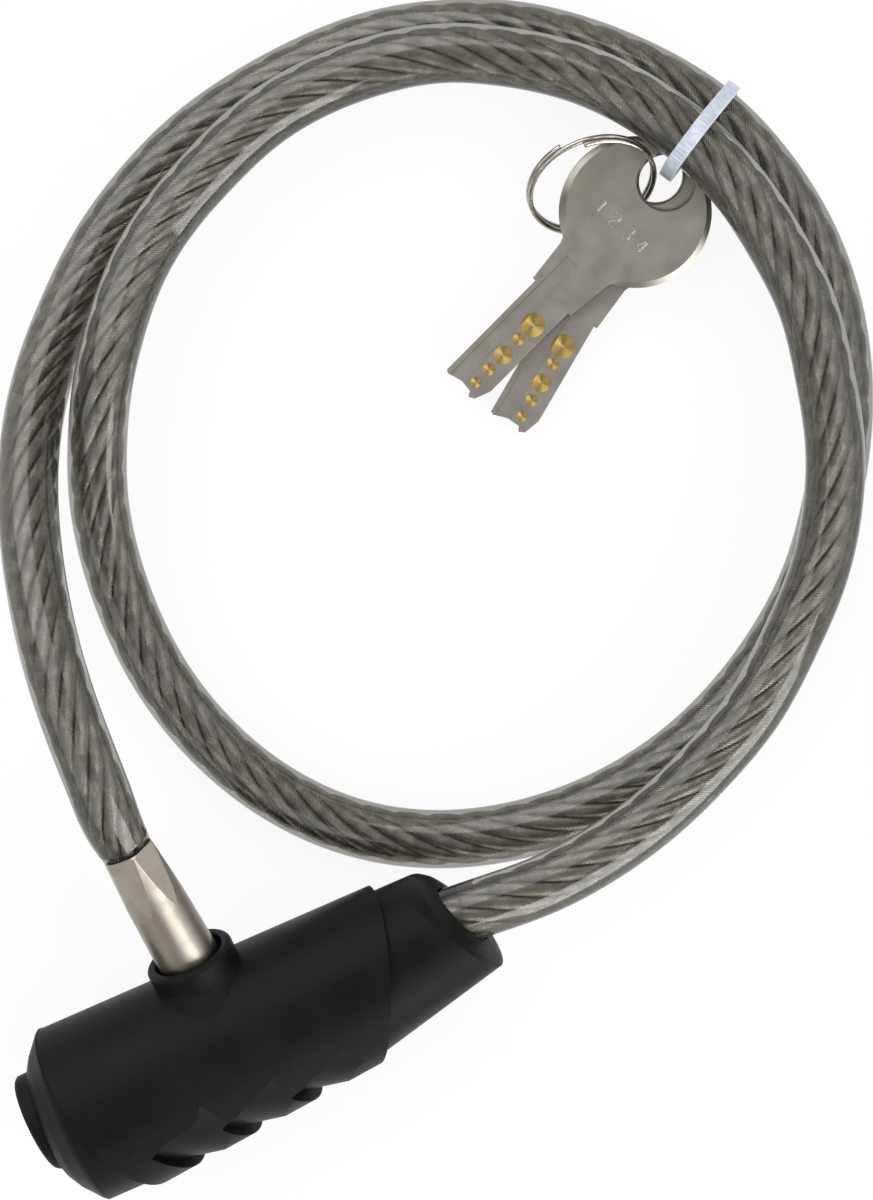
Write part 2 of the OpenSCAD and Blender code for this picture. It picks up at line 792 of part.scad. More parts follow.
// Flat key: hole at the origin, blade along +X, both faces alike
module flat_key()
  difference() {
    union() {
      translate([key_hole_off, 0, 0])
        rotate_extrude()
          polygon([
            [0, -key_t / 2], [bow_d / 2 - 0.9, -key_t / 2], [bow_d / 2, -key_t / 2 + 0.5],
            [bow_d / 2, key_t / 2 - 0.5], [bow_d / 2 - 0.9, key_t / 2], [0, key_t / 2]]);
      linear_extrude(blade_t, center = true)
        polygon([
          [10, -6.5], [neck_from, -6.5], [20, -5.4], [neck_to, -4.55],
          [neck_to, 4.55], [19.5, 5.4], [neck_from, 6.5], [10, 6.5]]);
      linear_extrude(blade_t, center = true)
        polygon([
          [20, -blade_w / 2], [key_reach - 0.7, -blade_w / 2], [key_reach - 0.35, -3.4],
          [key_reach - 1.1, -0.8], [key_reach - 0.9, 1.4], [key_reach, 1.9],
          [key_reach - 0.5, 2.9], [key_reach - 3.3, blade_w / 2], [20, blade_w / 2]]);
    }
    key_hole();
    for (face = [0, 1])
      mirror([0, 0, face]) {
        // step between bow and neck
        translate([neck_from, -8, blade_t / 2])
          cube([40, 16, 1]);
        // long groove beside the dimples
        translate([neck_from + 3.5, -3.1, blade_t / 2 - groove_deep])
          cube([40, 2.7, 1]);
        // milled side
        translate([neck_to - 6, -blade_w / 2 + 0.75, blade_t / 2])
          rotate([-40, 0, 0])
            translate([0, -4, 0])
              cube([40, 4, 3]);
        for (d = dimples)
          translate([d[0], dimple_y, blade_t / 2 - d[1] * 0.45])
            cylinder(h = d[1] * 0.45 + 0.01, r1 = 0.05, r2 = d[1] + 0.01, $fn = 32);
      }
  }

module key_hole()
  rotate_extrude()
    polygon([
      [0, -3], [key_hole_d / 2 + 1, -3], [key_hole_d / 2 + 1, -key_t / 2 - 0.5], [key_hole_d / 2, -key_t / 2 + 0.5],
      [key_hole_d / 2, key_t / 2 - 0.5], [key_hole_d / 2 + 1, key_t / 2 + 0.5], [key_hole_d / 2 + 1, 3], [0, 3]]);

module key_a()
  color([0.72, 0.7, 0.66])
    key_place(key_a_at, key_a_dir)
      flat_key();

module key_b()
  color([0.68, 0.66, 0.62])
    key_place(key_b_at, key_b_dir)
      flat_key();

// Split ring of two coils
module key_ring()
  color([0.7, 0.69, 0.66])
    translate(ring_at)
      rotate([0, ring_tilt, ring_turn])
        translate([0, 0, -coil_pitch])
          tube(ring_points(), ring_wire / 2, 8);

function ring_points() =
  let (r = ring_d / 2 - ring_wire / 2, n = 72)
  [for (i = [0:n]) let (a = ring_start + 700 * i / n) [r * cos(a), r * sin(a), 2 * coil_pitch * i / n]];

// Tie around both turns of the cable and through the keys, drawn in the
// vertical plane across the cable

module tie_outline(grow)
  hull() {
    translate(tie_high)
      circle(r = cable_d / 2 + 0.25 + grow, $fn = 40);
    translate(tie_low)
      circle(r = cable_d / 2 + 0.15 + grow, $fn = 40);
    translate(tie_in)
      circle(r = 0.6 + grow, $fn = 24);
  }

module cable_tie()
  color([0.85, 0.88, 0.92])
    translate([tie_at[0], tie_at[1], 0])
      rotate([90, 0, tie_dir])
        linear_extrude(tie_w, center = true)
          difference() {
            tie_outline(tie_t);
            tie_outline(0);
          }

// ---- output --------------------------------------------------------------

outer_sleeve();
nose_cap();
rear_collar();
key_bezel();
lock_housing();
cylinder_shell();
cylinder_plug();
plug_clip();
key_pins();
driver_pins();
driver_springs();
cam_disc();
cam_cross_pin();
latch_plate();
cylinder_retaining_pin();
cable_anchor();
anchor_pins();
locking_pin();
cable_jacket();
steel_rope();
cable_tie();
key_ring();
key_a();
key_b();
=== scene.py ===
"""Looks of the coiled cable lock: finishes of the moulded head, the clear-jacketed
steel rope, the keys on their split ring and the nylon tie. Units are metres."""
import math

import bpy
import numpy as np
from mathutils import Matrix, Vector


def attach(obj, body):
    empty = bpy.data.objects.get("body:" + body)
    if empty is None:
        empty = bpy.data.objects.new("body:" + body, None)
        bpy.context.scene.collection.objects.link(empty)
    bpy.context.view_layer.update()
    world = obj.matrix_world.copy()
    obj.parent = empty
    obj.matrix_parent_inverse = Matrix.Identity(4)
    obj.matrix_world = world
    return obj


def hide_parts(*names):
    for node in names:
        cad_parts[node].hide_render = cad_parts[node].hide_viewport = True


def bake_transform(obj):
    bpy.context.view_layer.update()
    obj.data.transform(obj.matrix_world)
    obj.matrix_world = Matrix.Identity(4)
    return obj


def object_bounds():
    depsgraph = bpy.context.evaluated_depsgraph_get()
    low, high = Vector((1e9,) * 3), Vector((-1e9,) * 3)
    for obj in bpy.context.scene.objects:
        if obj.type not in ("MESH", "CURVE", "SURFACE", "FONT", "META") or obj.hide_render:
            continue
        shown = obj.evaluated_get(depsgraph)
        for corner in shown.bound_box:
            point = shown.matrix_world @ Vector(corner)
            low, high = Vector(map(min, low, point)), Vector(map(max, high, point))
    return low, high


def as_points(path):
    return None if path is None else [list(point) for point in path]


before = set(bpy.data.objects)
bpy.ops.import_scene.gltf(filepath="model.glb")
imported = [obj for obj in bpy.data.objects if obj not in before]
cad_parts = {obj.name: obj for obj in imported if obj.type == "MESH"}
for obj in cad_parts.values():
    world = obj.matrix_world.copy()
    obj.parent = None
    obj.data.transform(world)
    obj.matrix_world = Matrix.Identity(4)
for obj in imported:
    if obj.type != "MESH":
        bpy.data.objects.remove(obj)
cad_low, cad_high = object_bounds()

MM = 0.001


# ---- camera --------------------------------------------------------------

def straight_down(x, y, height, turn, seen):
    """Camera at (x, y, height) that looks straight down, turned about the vertical
    by turn degrees; seen is the length of floor along the frame's long side."""
    data = bpy.data.cameras.new("camera")
    data.sensor_width = 36
    data.lens = data.sensor_width * height / seen
    data.clip_start, data.clip_end = 0.01, 20
    camera = bpy.data.objects.new("camera", data)
    camera.location = (x, y, height)
    camera.rotation_euler = (0, 0, math.radians(turn))
    bpy.context.scene.collection.objects.link(camera)
    bpy.context.scene.camera = camera


straight_down(x=0.05517, y=0.05267, height=0.560, turn=-23.7, seen=0.20657)
bpy.context.scene.view_settings.view_transform = "Standard"


# ---- lines and surfaces --------------------------------------------------

def unit(v):
    """Rows of v divided by their lengths."""
    return v / np.linalg.norm(v, axis=-1, keepdims=True)


def spline(points):
    """Natural cubic spline through points, by chord length t. Its second derivatives m
    solve h0 m0 + 2 (h0 + h1) m1 + h1 m2 = 6 (slope1 - slope0) at each inner point.
    Returns the points' own t and a function of t."""
    p = np.array(points, float)
    t = np.r_[0, np.cumsum(np.linalg.norm(np.diff(p, axis=0), axis=1))]
    h = np.diff(t)
    slope = np.diff(p, axis=0) / h[:, None]
    a = np.eye(len(p))
    inner = np.arange(1, len(p) - 1)
    a[inner, inner - 1], a[inner, inner], a[inner, inner + 1] = h[:-1], 2 * (h[:-1] + h[1:]), h[1:]
    b = np.zeros_like(p)
    b[1:-1] = 6 * np.diff(slope, axis=0)
    m = np.linalg.solve(a, b)

    def at(u):
        i = np.clip(np.searchsorted(t, u, side="right") - 1, 0, len(h) - 1)
        hi, x = h[i][:, None], (u - t[i])[:, None]
        return (p[i] + x * (slope[i] - hi * (2 * m[i] + m[i + 1]) / 6)
                + x ** 2 * m[i] / 2 + x ** 3 * (m[i + 1] - m[i]) / (6 * hi))

    return t, at


def frames(line):
    """Unit tangent, side (to the right of travel, level) and up of each point of a line."""
    along = unit(np.gradient(line, axis=0))
    side = unit(np.cross(along, [0, 0, 1]))
    return along, side, np.cross(side, along)


def grid_faces(rows, columns, first=0):
    """Quads between neighbouring rings of a tube of rows rings with columns points."""
    i, k = np.meshgrid(np.arange(rows - 1), np.arange(columns), indexing="ij")
    a, b = i * columns + k, i * columns + (k + 1) % columns
    return (np.stack([a, b, b + columns, a + columns], -1).reshape(-1, 4) + first).tolist()


def mesh(name, points, faces, smooth=True):
    """Object called name at the origin, with those points and faces."""
    data = bpy.data.meshes.new(name)
    data.from_pydata(points.tolist(), [], faces)
    data.shade_smooth() if smooth else data.shade_flat()
    data.update()
    made = bpy.data.objects.new(name, data)
    bpy.context.scene.collection.objects.link(made)
    return made


def swept(rings):
    """Points and faces of one closed tube from an array of rings: [ring, point, xyz]."""
    rows, columns = rings.shape[:2]
    last = (rows - 1) * columns
    caps = [list(range(columns))[::-1], list(range(last, last + columns))]
    return rings.reshape(-1, 3), grid_faces(rows, columns) + caps


def joined(parts):
    """Several (points, faces) as one."""
    points, faces, first = [], [], 0
    for p, f in parts:
        points.append(p)
        faces += [[v + first for v in face] for face in f]
        first += len(p)
    return np.concatenate(points), faces


# ---- cable ---------------------------------------------------------------

CABLE_R = 5.0 * MM
STRANDS = 6
ROPE_R = 2.95 * MM
STRAND_R = ROPE_R / 3
STRAND_LAY = 37 * MM
WIRES = 16
WIRE_LAY = 17 * MM
NECK = 0.86
NECK_LENGTH = 10 * MM

# The part's own route of the cable: out of the locking pin, twice round and
# into the head.
ROUTE = np.array([
    [-7.2, 36, 31.85], [-7.4, 40.1, 33.5],
    [-7, 46, 35.6], [-6.5, 55, 36.9], [-5.5, 68, 35.6], [-3.5, 80.5, 31.6],
    [-0.5, 92.5, 25.8], [4, 104, 19.3], [10.5, 114.5, 13.2], [18.5, 123.5, 8.5],
    [27, 131, 5.9], [37, 137, 5.1], [48, 141.5, 5], [59.5, 144, 5],
    [71, 145, 5], [83, 144.5, 5], [95, 141.5, 5], [106, 136.5, 5],
    [116, 129, 5.3], [124.5, 120, 5.9], [131.5, 109.5, 6.3], [136, 97.5, 5.8],
    [138, 85.5, 5.2], [137.5, 73, 5], [134.5, 61, 5], [129.5, 50, 5],
    [123, 40, 5], [115.5, 31, 5], [106.5, 23.5, 5], [96.5, 17.5, 5],
    [85.5, 13, 5], [74, 10.5, 5], [62.5, 10, 5], [50.5, 11.5, 5],
    [39.5, 15, 5], [29, 21, 5], [20.5, 29, 5], [14, 38.5, 5.1],
    [9.5, 49, 5.5], [7, 60, 6.5], [6.5, 70.5, 8.1], [7.5, 81, 10.4],
    [10, 91, 13.1], [14, 100, 15.7], [19, 108.5, 17.6], [25, 116.5, 16.8],
    [32, 124, 14.9], [40.5, 130, 13.8], [50, 134.5, 13.7], [60, 138, 13.8],
    [70.5, 139.5, 13.9], [81.5, 139, 13.9], [92.5, 136.5, 13.9], [102.5, 131.5, 13.8],
    [112, 124.5, 14.1], [119.5, 116, 14.8], [125.5, 106, 15.2], [129.5, 95.5, 14.6],
    [131.5, 84, 14], [132, 73, 14.2], [130, 61.5, 14.7], [127, 50.5, 15.3],
    [122, 40, 15.4], [115, 30.5, 15.4], [106.5, 22.5, 15.4], [97, 15, 15.3],
    [86.5, 9.5, 14.8], [74.5, 5, 14.7], [62, 2.5, 15.8], [52, 2, 17.4],
    [40.9, 2.9, 18.5], [29.9, 3.8, 18.85]]) * MM
UNDER_TIE = 20

route_t, route_at = spline(ROUTE)


def neck(t):
    """Share of the full thickness at t: the jacket is drawn in towards the locking pin,
    as 1 - (1 - neck) (1 - x)^2 with x the share of the neck's length."""
    x = np.clip(t / NECK_LENGTH, 0, 1)
    return 1 - (1 - NECK) * (1 - x) ** 2


def round_tube(t, radius, sides):
    """Tube of circles of that radius on the route: centre + r (cos a up + sin a side)."""
    line = route_at(t)
    _, side, up = frames(line)
    a = np.linspace(0, 2 * np.pi, sides, endpoint=False)[None, :, None]
    r = (radius * neck(t))[:, None, None]
    return swept(line[:, None] + r * (np.cos(a) * up[:, None] + np.sin(a) * side[:, None]))


def wire_outline(per_wire):
    """Outline of a strand of round wires: angles, and radii that dip between wires as
    c cos b + sqrt(w^2 - (c sin b)^2), b being the angle from the nearest wire's middle."""
    count = WIRES * per_wire
    angle = 2 * np.pi * np.arange(count) / count
    half = np.pi / WIRES
    centre = STRAND_R / (1 + math.sin(half))
    wire = centre * math.sin(half)
    b = np.abs((angle % (2 * half)) - half)
    dip = np.sqrt(np.maximum(wire ** 2 - (centre * np.sin(b)) ** 2, 0))
    return angle, centre * np.cos(b) + dip


def strand(t, index, per_wire=3):
    """One strand, wound right-handed round the route: its middle is at
    route + h (cos p up + sin p side) with p = 2 pi (t / lay + share), and its wires
    turn the other way round it."""
    line = route_at(t)
    along, side, up = frames(line)
    p = 2 * np.pi * (t / STRAND_LAY + index / STRANDS)[:, None]
    out = np.cos(p) * up + np.sin(p) * side
    middle = line + (2 * STRAND_R * neck(t))[:, None] * out
    forward = unit(np.gradient(middle, axis=0))
    across = unit(np.cross(forward, out))
    angle, radius = wire_outline(per_wire)
    a = angle[None, :] - 2 * np.pi * (t / WIRE_LAY + t / STRAND_LAY)[:, None]
    r = radius[None, :, None] * neck(t)[:, None, None]
    return swept(middle[:, None] + r * (np.cos(a)[..., None] * out[:, None]
                                        - np.sin(a)[..., None] * across[:, None]))


def rope(name, t, pieces):
    """Six strands round a core strand over the stretch t, shared out to that many pieces."""
    made = []
    for first in range(pieces):
        parts = [strand(t, i) for i in range(first, STRANDS, pieces)]
        if first == 0:
            parts.append(round_tube(t, STRAND_R, 8))
        made.append(mesh(f"{name}_{first + 1}", *joined(parts)))
    return made


def stretch(start, end, step):
    """Even places from start to end, about step apart."""
    return np.linspace(start, end, int(round((end - start) / step)) + 1)


def length(t):
    """Length of the route through the places t."""
    return float(np.linalg.norm(np.diff(route_at(t), axis=0), axis=1).sum())


JACKET_STEP = 1.5 * MM
ROPE_STEP = 0.72 * MM
free_span = (0, route_t[UNDER_TIE])
main_span = (route_t[UNDER_TIE], route_t[-1])

free_jacket = mesh("jacket_free_end", *round_tube(stretch(*free_span, JACKET_STEP), CABLE_R, 48))
main_jacket = mesh("jacket_coil", *round_tube(stretch(*main_span, JACKET_STEP), CABLE_R, 48))
free_rope = rope("rope_free_end", stretch(*free_span, ROPE_STEP), 2)
main_rope = rope("rope_coil", stretch(*main_span, ROPE_STEP), 3)

for piece in (main_jacket, *main_rope):
    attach(piece, "head")
for piece in (free_jacket, *free_rope):
    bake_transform(piece)
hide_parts("cable_jacket")
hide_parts("steel_rope")

free_line, main_line = stretch(*free_span, 2 * MM), stretch(*main_span, 2 * MM)
length(main_line)
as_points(route_at(main_line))
length(free_line)
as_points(route_at(free_line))


# ---- finishes ------------------------------------------------------------

class Value:
    """What a node gives out; + - and * on a number add Math nodes."""

    def __init__(self, nodes, socket):
        self.nodes, self.socket = nodes, socket

    def _with(self, operation, a, b):
        return self.nodes.node("ShaderNodeMath", {"operation": operation}, {0: a, 1: b})

    def __add__(self, other):
        return self._with("ADD", self, other)

    def __sub__(self, other):
        return self._with("SUBTRACT", self, other)

    def __rsub__(self, other):
        return self._with("SUBTRACT", other, self)

    def __mul__(self, other):
        return self._with("MULTIPLY", self, other)

    __radd__, __rmul__ = __add__, __mul__


class Nodes:
    """The nodes of a finish or of the surroundings, with the one that shows them."""

    def __init__(self, tree, last):
        self.tree = tree
        tree.nodes.clear()
        self.last = tree.nodes.new(last)

    def node(self, kind, settings=None, inputs=None, output=0):
        """New node of that type; its settings are set first, then its sockets are given
        values or links."""
        made = self.tree.nodes.new(kind)
        for name, value in (settings or {}).items():
            setattr(made, name, value)
        for socket, value in (inputs or {}).items():
            if isinstance(value, Value):
                self.tree.links.new(value.socket, made.inputs[socket])
            else:
                made.inputs[socket].default_value = value
        return Value(self, made.outputs[output])

    def show(self, value):
        """Puts value on the node that shows."""
        self.tree.links.new(value.socket, self.last.inputs[0])


class Finish(Nodes):
    """A material of one Principled surface with what changes over it."""

    def __init__(self, name, constants):
        self.material = bpy.data.materials.new(name)
        self.material.use_nodes = True
        super().__init__(self.material.node_tree, "ShaderNodeOutputMaterial")
        self.surface = self.node("ShaderNodeBsdfPrincipled", None, constants)
        self.show(self.surface)

    def feed(self, socket, value):
        """Links value to a socket of the surface."""
        self.tree.links.new(value.socket, self.surface.socket.node.inputs[socket])

    def place(self):
        """Place on the object, in the part's frame."""
        return self.node("ShaderNodeTexCoord", output="Object")

    def noise(self, size, detail=2.0, place=None):
        """Cloud noise whose lumps are about size across, from 0 to 1."""
        return self.node("ShaderNodeTexNoise", None, {
            "Vector": place or self.place(), "Scale": 1 / size, "Detail": detail})

    def along(self, axis):
        """Distance along an axis through the origin."""
        return self.node("ShaderNodeVectorMath", {"operation": "DOT_PRODUCT"},
                         {0: self.place(), 1: axis}, output="Value")

    def away(self, point):
        """Distance from a point."""
        return self.node("ShaderNodeVectorMath", {"operation": "DISTANCE"},
                         {0: self.place(), 1: point}, output="Value")

    def scaled(self, size):
        """Place, stretched so that noise of one metre is size long in x, y and z."""
        return self.node("ShaderNodeVectorMath", {"operation": "DIVIDE"},
                         {0: self.place(), 1: size})

    def between(self, value, low, high, to_low=0.0, to_high=1.0):
        """value from low to high as to_low to to_high, smoothly and no further."""
        return self.node("ShaderNodeMapRange", {"interpolation_type": "SMOOTHSTEP"}, {
            "Value": value, "From Min": low, "From Max": high,
            "To Min": to_low, "To Max": to_high})

    def mixed(self, share, a, b):
        """Colour a towards colour b by share."""
        return self.node("ShaderNodeMix", {"data_type": "RGBA"},
                         {"Factor": share, 6: a, 7: b}, output=2)

    def bump(self, height, distance, strength=1.0):
        self.feed("Normal", self.node("ShaderNodeBump", None, {
            "Height": height, "Distance": distance, "Strength": strength}))


def rgb(r, g, b):
    """Colour written in display numbers from 0 to 255, as the linear one shaders take."""
    c = np.array([r, g, b]) / 255
    linear = np.where(c <= 0.04045, c / 12.92, ((c + 0.055) / 1.055) ** 2.4)
    return (*linear.tolist(), 1.0)


def moulded(name, colour, pale, roughness):
    """Black moulded plastic with a fine spark-eroded grain and faint handling marks."""
    f = Finish(name, {"Base Color": colour, "IOR": 1.5, "Specular IOR Level": 0.1})
    marks = f.noise(9 * MM, 4)
    grain = f.noise(0.32 * MM, 2)
    f.feed("Base Color", f.mixed(f.between(marks, 0.35, 0.75), colour, pale))
    f.feed("Roughness", f.between(marks, 0.3, 0.7, roughness - 0.05, roughness + 0.06))
    f.bump(grain + f.noise(2.4 * MM, 1) * 0.6, 0.035 * MM)
    return f.material


def turned(name, colour, tint, axis, roughness, pitch=0.12 * MM):
    """Plated or bare metal turned about axis: fine rings round it and soft stains."""
    f = Finish(name, {"Base Color": colour, "Metallic": 1.0})
    rings = f.node("ShaderNodeTexNoise", {"noise_dimensions": "1D"},
                   {"W": f.along(axis), "Scale": 1 / pitch, "Detail": 2.0})
    stains = f.noise(3.5 * MM, 3)
    f.feed("Base Color", f.mixed(f.between(stains, 0.3, 0.75), colour, tint))
    f.feed("Roughness", f.between(stains + (rings - 0.5) * 0.6, 0.2, 0.8,
                                  roughness - 0.06, roughness + 0.08))
    f.bump(rings, 0.01 * MM, 0.6)
    return f.material


def cast(name, colour, tint, roughness):
    """Die-cast or rolled metal with a mottled, slightly uneven skin."""
    f = Finish(name, {"Base Color": colour, "Metallic": 1.0})
    skin = f.noise(1.1 * MM, 4)
    f.feed("Base Color", f.mixed(f.between(skin, 0.3, 0.7), colour, tint))
    f.feed("Roughness", f.between(skin, 0.25, 0.75, roughness - 0.08, roughness + 0.08))
    f.bump(skin, 0.03 * MM)
    return f.material


def clear_jacket():
    """Smoke-clear vinyl that bends light, with painted shade that darkens its colour towards the rim in
    place of the shadowed floor and dark surroundings seen through the edge, and lets lamps through to the
    rope."""
    f = Finish("smoke_clear_vinyl", {
        "Base Color": rgb(150, 147, 139), "IOR": 1.5, "Transmission Weight": 1.0, "Roughness": 0.1})
    # painted shade: the colour darkens towards the rim, standing for the shadowed floor and dark
    # surroundings seen through the jacket's edge
    rim = f.node("ShaderNodeLayerWeight", None, {"Blend": 0.5}, output="Facing")
    f.feed("Base Color", f.mixed(f.between(rim, 0.4, 0.85), rgb(156, 153, 145), rgb(76, 73, 68)))
    f.feed("Roughness", f.between(f.noise(14 * MM, 3), 0.3, 0.7, 0.05, 0.1))
    f.bump(f.noise(6 * MM, 1), 0.03 * MM, 0.5)
    lamps = f.node("ShaderNodeLightPath", output="Is Shadow Ray")
    through = f.node("ShaderNodeBsdfTransparent", None, {"Color": rgb(215, 213, 208)})
    f.show(f.node("ShaderNodeMixShader", None, {0: lamps, 1: f.surface, 2: through}))
    return f.material


def galvanised():
    """Drawn steel wire under the jacket, with duller and brighter stretches."""
    f = Finish("drawn_steel_wire", {"Metallic": 1.0})
    patches = f.noise(2.6 * MM, 3)
    f.feed("Base Color", f.mixed(f.between(patches, 0.3, 0.7), rgb(138, 137, 131), rgb(182, 181, 174)))
    f.feed("Roughness", f.between(patches, 0.3, 0.7, 0.34, 0.24))
    return f.material


def nylon():
    """Natural nylon: milky, faintly blue, soft sheen."""
    f = Finish("natural_nylon", {
        "Base Color": rgb(176, 182, 197), "IOR": 1.53, "Subsurface Weight": 0.35,
        "Subsurface Radius": (0.8 * MM, 0.9 * MM, 1.1 * MM), "Subsurface Scale": 1.0})
    cloud = f.noise(1.4 * MM, 3)
    f.feed("Base Color", f.mixed(f.between(cloud, 0.3, 0.7), rgb(176, 182, 196), rgb(196, 201, 213)))
    f.feed("Roughness", f.between(cloud, 0.3, 0.7, 0.34, 0.5))
    f.bump(f.noise(0.4 * MM, 2), 0.02 * MM)
    return f.material


# ---- key ring ------------------------------------------------------------

RING_AT = np.array([107.45, 106.45, 9.55]) * MM
RING_TILT, RING_TURN, RING_START = 53.3, -96.2, 200
RING_R = 10.8 * MM
RING_WIRE = 0.92 * MM
RING_PITCH = 0.96 * MM
RING_SWEEP = 700


def turned_about(points, axis, degrees):
    """Points turned about one of the axes 0, 1, 2 through the origin."""
    c, s = math.cos(math.radians(degrees)), math.sin(math.radians(degrees))
    j, k = (axis + 1) % 3, (axis + 2) % 3
    out = points.copy()
    out[..., j] = c * points[..., j] - s * points[..., k]
    out[..., k] = s * points[..., j] + c * points[..., k]
    return out


def split_ring():
    """Wire of two close coils: r (cos a, sin a) and a height of pitch a / 360."""
    a = np.radians(RING_START + np.linspace(0, RING_SWEEP, 361))
    out = np.stack([np.cos(a), np.sin(a), 0 * a], -1)
    height = RING_PITCH * (np.degrees(a) - RING_START) / 360 * 720 / RING_SWEEP - RING_PITCH
    line = RING_R * out + np.stack([0 * a, 0 * a, height], -1)
    b = np.linspace(0, 2 * np.pi, 16, endpoint=False)[None, :, None]
    rings = line[:, None] + RING_WIRE / 2 * (np.cos(b) * out[:, None] + np.sin(b) * np.array([0, 0, -1.0]))
    rings = turned_about(turned_about(rings, 1, RING_TILT), 2, RING_TURN) + RING_AT
    return mesh("split_ring", *swept(rings))


ring = split_ring()
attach(ring, "ring")
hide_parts("key_ring")


# ---- nylon tie -----------------------------------------------------------

TIE_AT = np.array([130.3, 108.9, 0]) * MM
TIE_DIR = 29
TIE_CIRCLES = np.array([[-5.6, 15.2, 5.25], [1.35, 6.3, 5.15], [-9.95, 1.7, 0.6]]) * MM
TIE_W, TIE_T = 2.5 * MM, 1.1 * MM
RIB_PITCH, RIB_HIGH = 0.75 * MM, 0.16 * MM
# Across, out and ribbed or not, in shares of half the width and half the thickness.
TIE_SECTION = np.array([
    [-1, 0.6, 0], [-0.94, 0.86, 0], [-0.76, 0.92, 0], [-0.6, 0.7, 1],
    [0.6, 0.7, 1], [0.76, 0.92, 0], [0.94, 0.86, 0], [1, 0.6, 0],
    [1, -0.7, 0], [0.94, -0.95, 0], [0.8, -1, 0], [-0.8, -1, 0], [-0.94, -0.95, 0], [-1, -0.7, 0]])


def tie_line(count):
    """Middle of the strap: the band's tangent outline round three circles, spaced evenly.
    Each direction's outermost circle gives the outline's point there."""
    a = np.linspace(0, 2 * np.pi, 2881)
    out = np.stack([np.cos(a), np.sin(a)], -1)
    reach = TIE_CIRCLES[:, 2] + TIE_T / 2
    first = np.argmax(out @ TIE_CIRCLES[:, :2].T + reach, axis=1)
    line = TIE_CIRCLES[first, :2] + reach[first, None] * out
    s = np.r_[0, np.cumsum(np.linalg.norm(np.diff(line, axis=0), axis=1))]
    even = np.linspace(0, s[-1], count, endpoint=False)
    return np.stack([np.interp(even, s, line[:, j]) for j in (0, 1)], -1), s[-1]


def strap():
    """Band of a rounded oblong section along the tie's outline, its outer face cut into
    cross ribs of height h (0.5 + 0.5 sin)^2."""
    count = 720
    line, around = tie_line(count)
    along = unit(np.roll(line, -1, 0) - np.roll(line, 1, 0))
    out = np.stack([along[:, 1], -along[:, 0]], -1)
    s = around * np.arange(count) / count
    ribs = (0.5 + 0.5 * np.sin(2 * np.pi * s * round(around / RIB_PITCH) / around)) ** 2
    width, thick = TIE_W / 2 * TIE_SECTION[:, 0], TIE_T / 2 * TIE_SECTION[:, 1]
    across = thick[None] + RIB_HIGH * ribs[:, None] * TIE_SECTION[:, 2]
    flat = line[:, None] + across[..., None] * out[:, None]
    c, s = math.cos(math.radians(TIE_DIR)), math.sin(math.radians(TIE_DIR))
    x, z, w = flat[..., 0], flat[..., 1], width[None] + 0 * flat[..., 0]
    points = np.stack([x * c + w * s, x * s - w * c, z], -1) + TIE_AT
    rows, columns = points.shape[:2]
    faces = np.array(grid_faces(rows + 1, columns)) % (rows * columns)
    return mesh("nylon_strap", points.reshape(-1, 3), faces.tolist())


tie = strap()
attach(tie, "head")
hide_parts("cable_tie")


# ---- keys ----------------------------------------------------------------

KEYS = {
    "key_a": (np.array([119.3, 101.9, 8.7]) * MM, 201.3),
    "key_b": (np.array([118.35, 103.9, 6.2]) * MM, 216),
}
KEY_SLOPE, SLOPE_DIR = 5, 207.3
DIMPLES = np.array([[33, 2.1], [36.4, 1.05], [40.2, 1.6], [43.6, 1.05], [46.8, 0.9]]) * MM
DIMPLE_Y = 1.1 * MM
PLATE_T = 1.86 * MM


def on_key(name, points):
    """Points of a key's own frame (hole at the origin, blade along X) in the part's frame:
    turned in the plane, tipped by the slope about the level line across it, and moved."""
    at, direction = KEYS[name]
    p = turned_about(np.array(points, float), 2, direction)
    p = turned_about(turned_about(turned_about(p, 2, -SLOPE_DIR), 1, KEY_SLOPE), 2, SLOPE_DIR)
    return p + at


def dimple_spots(name):
    """Middle and radius of each dimple on the upper face."""
    middles = np.stack([DIMPLES[:, 0], 0 * DIMPLES[:, 0] + DIMPLE_Y, 0 * DIMPLES[:, 0] + PLATE_T / 2], -1)
    return [(tuple(p), r) for p, r in zip(on_key(name, middles).tolist(), DIMPLES[:, 1].tolist())]


def key_metal(name, brass_at):
    """Nickel-plated key, tumbled dull, its dimples cut through to the brass."""
    f = Finish(name, {"Metallic": 1.0})
    stains = f.noise(4 * MM, 4)
    streaks = f.noise(1, 3, f.scaled((2.5 * MM, 0.12 * MM, 0.4 * MM)))
    plate = f.mixed(f.between(stains, 0.3, 0.7), rgb(154, 149, 142), rgb(160, 155, 147))
    bare = None
    for point, radius in brass_at:
        here = f.between(f.away(point), radius, radius + 0.12 * MM, 1.0, 0.0)
        bare = here if bare is None else bare + here
    f.feed("Base Color", f.mixed(bare, plate, rgb(146, 126, 76)))
    f.feed("Roughness", f.between(stains + (streaks - 0.5) * 0.5, 0.2, 0.8, 0.31, 0.38) + bare * 0.08)
    f.bump(streaks + f.noise(0.5 * MM, 2) * 0.7, 0.006 * MM)
    return f.material


